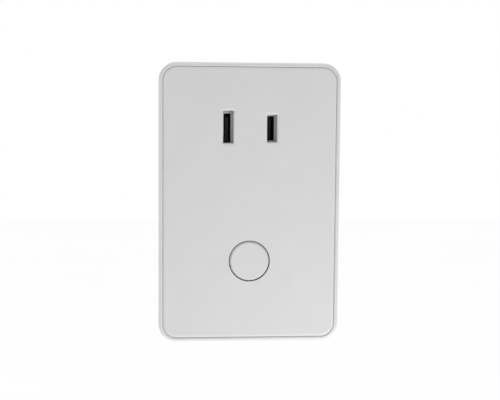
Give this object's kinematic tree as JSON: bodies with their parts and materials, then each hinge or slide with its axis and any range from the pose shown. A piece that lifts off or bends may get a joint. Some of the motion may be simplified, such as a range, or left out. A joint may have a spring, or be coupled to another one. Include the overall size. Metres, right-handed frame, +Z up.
{
  "type": "smart plug",
  "caption": "Compact plug-in smart plug with a polarised two-slot outlet, a flush round push button, flat wall blades and its relay and boards inside.",
  "frame": {"origin": "point on the flat rear face midway between the two blades", "axes": "+Z up, the long way of the housing; +Y out of the rear face into the wall, along the blades; +X to the right seen from the front"},
  "size_m": [0.0528, 0.047, 0.0812],
  "materials": {
    "housing_plastic": "satin",
    "cover_plastic": "satin",
    "button_plastic": "satin",
    "dark_moulding": "satin",
    "carrier_plastic": "satin",
    "blade_metal": "satin",
    "spring_bronze": "satin",
    "copper_strap": "satin",
    "contact_alloy": "polished",
    "circuit_board": "gloss",
    "radio_laminate": "gloss",
    "insulating_film": "matte",
    "light_guide_plastic": "satin",
    "led_resin": "gloss",
    "black_moulding": "satin",
    "chip_resin": "matte",
    "tinned_steel": "satin",
    "spring_steel": "polished",
    "screw_steel": "satin",
    "soft_iron": "satin",
    "fuse_ceramic": "matte",
    "varistor_coating": "gloss",
    "capacitor_box": "satin",
    "capacitor_sleeve": "gloss",
    "ferrite": "matte",
    "winding_tape": "gloss",
    "copper_wire": "polished",
    "shunt_alloy": "satin",
    "relay_blue": "satin"
  },
  "bodies": {
    "housing": {"blade_holder": "dark_moulding", "board_header": "black_moulding", "board_screw_1": "screw_steel", "board_screw_2": "screw_steel", "board_socket": "black_moulding", "bridge_rectifier": "chip_resin", "choke": "ferrite", "contact_carrier": "carrier_plastic", "control_board": "circuit_board", "control_screw_1": "screw_steel", "control_screw_2": "screw_steel", "controller_chip": "chip_resin", "film_capacitor": "capacitor_box", "filter_capacitor_1": "capacitor_sleeve", "filter_capacitor_2": "capacitor_sleeve", "front_cover": "cover_plastic", "fuse": "fuse_ceramic", "housing_screw_1": "screw_steel", "housing_screw_2": "screw_steel", "housing_screw_3": "screw_steel", "housing_screw_4": "screw_steel", "insulating_sheet": "insulating_film", "light_guide": "light_guide_plastic", "line_blade": "blade_metal", "line_contact": "spring_bronze", "line_link": "copper_strap", "metering_chip": "chip_resin", "neutral_blade": "blade_metal", "neutral_contact": "spring_bronze", "neutral_link": "copper_strap", "output_capacitor": "capacitor_sleeve", "power_board": "circuit_board", "radio_board": "radio_laminate", "radio_chip": "chip_resin", "radio_shield": "tinned_steel", "rear_housing": "housing_plastic", "relay_base": "black_moulding", "relay_bobbin": "carrier_plastic", "relay_case": "relay_blue", "relay_core": "soft_iron", "relay_fixed_contact": "contact_alloy", "relay_winding": "copper_wire", "relay_yoke": "soft_iron", "shunt_resistor": "shunt_alloy", "status_led": "led_resin", "switch_body": "black_moulding", "switch_cover": "tinned_steel", "switch_dome": "spring_steel", "transformer_bobbin": "black_moulding", "transformer_core": "ferrite", "transformer_winding": "winding_tape", "varistor": "varistor_coating"},
    "button": {"button_cap": "button_plastic"},
    "plunger": {"switch_plunger": "black_moulding"},
    "armature": {"relay_armature": "soft_iron", "relay_moving_contact": "contact_alloy"}
  },
  "joints": [
    {"name": "button_press", "type": "slide", "parent": "housing", "child": "button", "axis": [0, 1, 0], "range_m": [0, 0.0005], "stiffness_N_per_m": 1000, "springref_m": -0.0005},
    {"name": "plunger_press", "type": "slide", "parent": "housing", "child": "plunger", "axis": [0, 1, 0], "range_m": [0, 0.0003]},
    {"name": "armature_swing", "type": "hinge", "parent": "housing", "child": "armature", "pos_m": [0.0147, -0.0172, -0.03], "axis": [-1, 0, 0], "range_deg": [0, 2.5], "stiffness_Nm_per_rad": 0.05, "springref_deg": -2.29}
  ],
  "couplings": [
    {"joint": "plunger_press", "follows": "button_press", "ratio": 0.6}
  ]
}
